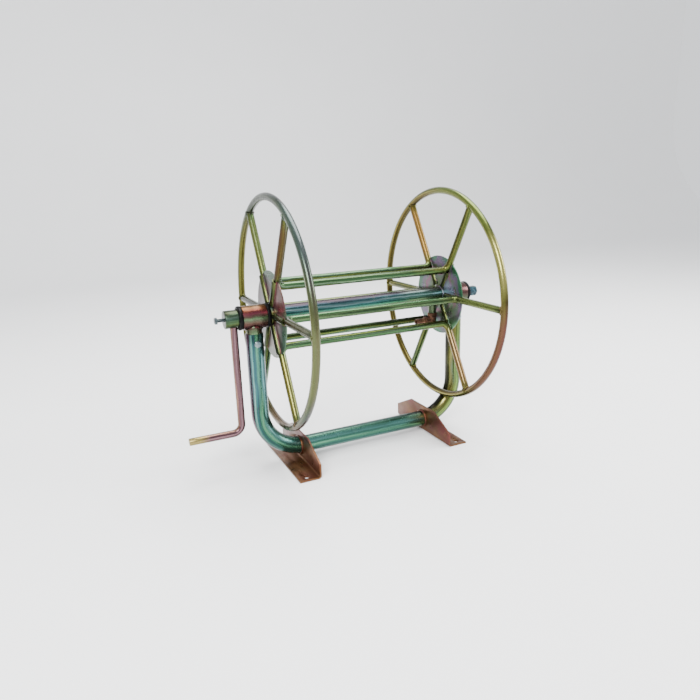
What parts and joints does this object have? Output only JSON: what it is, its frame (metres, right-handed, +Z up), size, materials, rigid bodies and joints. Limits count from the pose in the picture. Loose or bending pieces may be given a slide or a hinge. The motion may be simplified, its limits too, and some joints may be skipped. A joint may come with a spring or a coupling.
{
  "type": "floor-fixed hose reel",
  "caption": "Hand-cranked open hose reel with spoked rod flanges on a bent tube frame with two bolt-down angle feet, water swivel at one end of the axle",
  "frame": {"origin": "on the floor, at the centre of the four anchor holes in the feet", "axes": "+X along the reel's axle from the crank to the water inlet, +Y to the back, +Z up"},
  "size_m": [0.722, 0.5, 0.59],
  "materials": {
    "plated_frame_tube": "yellow-chromated zinc on steel tube, glossy, green to purple",
    "plated_foot": "yellow-chromated zinc on bent plate, red-brown with green-grey patches",
    "plated_housing": "yellow-chromated zinc, orange to red and green",
    "black_nylon": "black, satin",
    "bright_zinc": "bright bluish zinc",
    "plated_drum_tube": "yellow-chromated zinc, blue-green to purple",
    "plated_bar": "yellow-chromated zinc, green with yellow lines",
    "plated_ring": "yellow-chromated zinc, olive gold to grey green",
    "plated_disc": "yellow-chromated zinc, mauve with green edge",
    "plated_hub_rod": "yellow-chromated zinc, yellow green",
    "plated_crank": "yellow-chromated zinc, mauve pink",
    "steel_pipe": "grey zinc",
    "copper_fitting": "coppery brass, satin",
    "rubber_seal": "black"
  },
  "bodies": {
    "frame": {"frame_tube": "plated_frame_tube", "foot_left": "plated_foot", "foot_right": "plated_foot", "bearing_housing_left": "plated_housing", "bearing_housing_right": "plated_housing", "housing_stub_left": "plated_housing", "housing_stub_right": "plated_housing", "bush_outer_left": "black_nylon", "bush_inner_left": "black_nylon", "bush_inner_right": "black_nylon", "bush_outer_right": "black_nylon", "lock_bolts": "bright_zinc"},
    "reel": {"drum_tube": "plated_drum_tube", "drum_bar_1": "plated_bar", "drum_bar_2": "plated_bar", "drum_bar_3": "plated_bar", "drum_bar_4": "plated_bar", "drum_bar_5": "plated_bar", "drum_bar_6": "plated_bar", "flange_ring_left": "plated_ring", "flange_ring_right": "plated_ring", "hub_disc_left": "plated_disc", "hub_disc_right": "plated_disc", "hub_collar_left": "plated_hub_rod", "hub_collar_right": "plated_hub_rod", "hub_stiffener_left_1": "plated_hub_rod", "hub_stiffener_left_2": "plated_hub_rod", "hub_stiffener_left_3": "plated_hub_rod", "hub_stiffener_left_4": "plated_hub_rod", "hub_stiffener_left_5": "plated_hub_rod", "hub_stiffener_left_6": "plated_hub_rod", "hub_stiffener_right_1": "plated_hub_rod", "hub_stiffener_right_2": "plated_hub_rod", "hub_stiffener_right_3": "plated_hub_rod", "hub_stiffener_right_4": "plated_hub_rod", "hub_stiffener_right_5": "plated_hub_rod", "hub_stiffener_right_6": "plated_hub_rod", "crank_plug": "plated_drum_tube", "crank_rod": "plated_crank", "crank_bolt": "bright_zinc", "inlet_plug": "steel_pipe", "swivel_seal": "rubber_seal", "swivel_clip": "bright_zinc", "water_pipe": "steel_pipe", "outlet_nut": "copper_fitting", "outlet_elbow": "copper_fitting", "hose_tail": "copper_fitting"},
    "inlet": {"inlet_swivel": "bright_zinc"}
  },
  "joints": [
    {"name": "reel_spin", "type": "hinge", "parent": "frame", "child": "reel", "pos_m": [0, 0, 0.34], "axis": [1, 0, 0], "continuous": true},
    {"name": "inlet_turn", "type": "hinge", "parent": "reel", "child": "inlet", "pos_m": [0.3, 0, 0.34], "axis": [1, 0, 0], "continuous": true}
  ]
}
